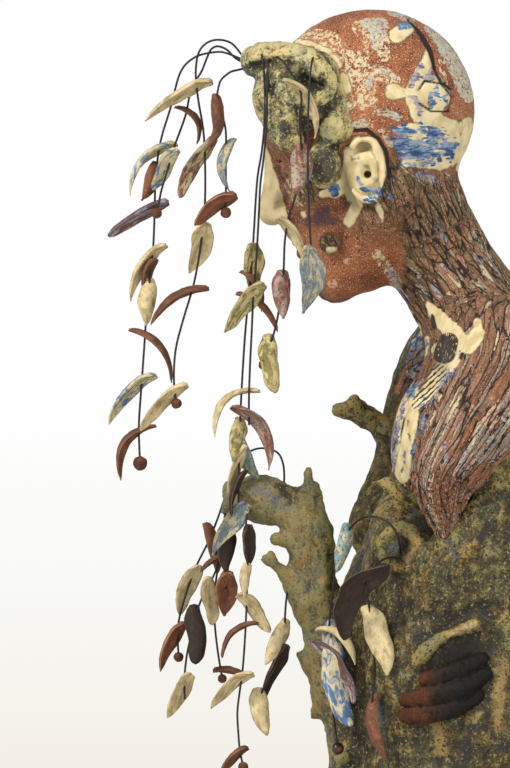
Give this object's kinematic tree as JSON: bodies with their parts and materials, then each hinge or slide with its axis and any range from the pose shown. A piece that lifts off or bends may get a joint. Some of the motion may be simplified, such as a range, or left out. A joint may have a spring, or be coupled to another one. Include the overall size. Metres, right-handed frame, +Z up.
{
  "type": "ceramic sculpture of a woman",
  "caption": "Hand-built ceramic bust of a bowed woman turning into a bark trunk, with hanging wires threaded with small ceramic leaves.",
  "frame": {"origin": "on the floor under the middle of the figure's box, without the hanging wires", "axes": "+Z up, the figure faces -Y, its left side is +X"},
  "size_m": [0.258, 0.3114, 0.5998],
  "materials": {
    "bark_glaze": "dry grey-green and ochre bark glaze over dark clay, bare red clay and cream slip above",
    "cream_clay": "matt cream",
    "dark_clay": "matt dark brown",
    "red_clay": "matt red-brown",
    "blue_clay": "cream slip brushed with blue",
    "olive_clay": "cream slip with an olive wash",
    "iron_wire": "black annealed wire, slightly glossy"
  },
  "bodies": {
    "root": {"figure": "bark_glaze", "wire_front_1": "iron_wire", "leaf_front_1_1": "cream_clay", "leaf_front_1_2": "cream_clay", "leaf_front_1_3": "dark_clay", "leaf_front_1_4": "cream_clay", "bead_front_1": "dark_clay", "wire_front_2": "iron_wire", "leaf_front_2_1": "blue_clay", "wire_front_3": "iron_wire", "leaf_front_3_1": "blue_clay", "leaf_front_3_2": "dark_clay", "leaf_front_3_3": "cream_clay", "leaf_front_3_4": "blue_clay", "leaf_front_3_5": "dark_clay", "bead_front_3": "dark_clay", "wire_front_4": "iron_wire", "leaf_front_4_1": "dark_clay", "leaf_front_4_2": "cream_clay", "leaf_front_4_3": "dark_clay", "wire_long_1": "iron_wire", "leaf_long_1_1": "olive_clay", "leaf_long_1_2": "cream_clay", "leaf_long_1_3": "blue_clay", "leaf_long_1_4": "cream_clay", "leaf_long_1_5": "blue_clay", "wire_long_2": "iron_wire", "leaf_long_2_1": "olive_clay", "leaf_long_2_2": "red_clay", "wire_temple_1": "iron_wire", "leaf_temple_1_1": "cream_clay", "leaf_temple_1_2": "red_clay", "leaf_temple_1_3": "olive_clay", "wire_temple_2": "iron_wire", "leaf_temple_2_1": "blue_clay", "wire_limb_1": "iron_wire", "leaf_limb_1_1": "cream_clay", "leaf_limb_1_2": "red_clay", "wire_limb_2": "iron_wire", "leaf_limb_2_1": "dark_clay", "leaf_limb_2_2": "cream_clay", "wire_limb_3": "iron_wire", "wire_limb_4": "iron_wire", "leaf_limb_4_1": "red_clay", "wire_limb_5": "iron_wire", "leaf_limb_5_1": "cream_clay", "leaf_limb_5_2": "cream_clay", "wire_twig_1": "iron_wire", "leaf_twig_1_1": "cream_clay", "leaf_twig_1_2": "dark_clay", "wire_flank_1": "iron_wire", "leaf_flank_1_1": "blue_clay", "wire_flank_2": "iron_wire", "leaf_flank_2_1": "dark_clay", "wire_flank_3": "iron_wire", "leaf_flank_3_1": "blue_clay", "bead_flank_3": "dark_clay", "wire_flank_4": "iron_wire", "leaf_flank_4_1": "cream_clay", "leaf_flank_4_2": "dark_clay"}
  },
  "joints": []
}
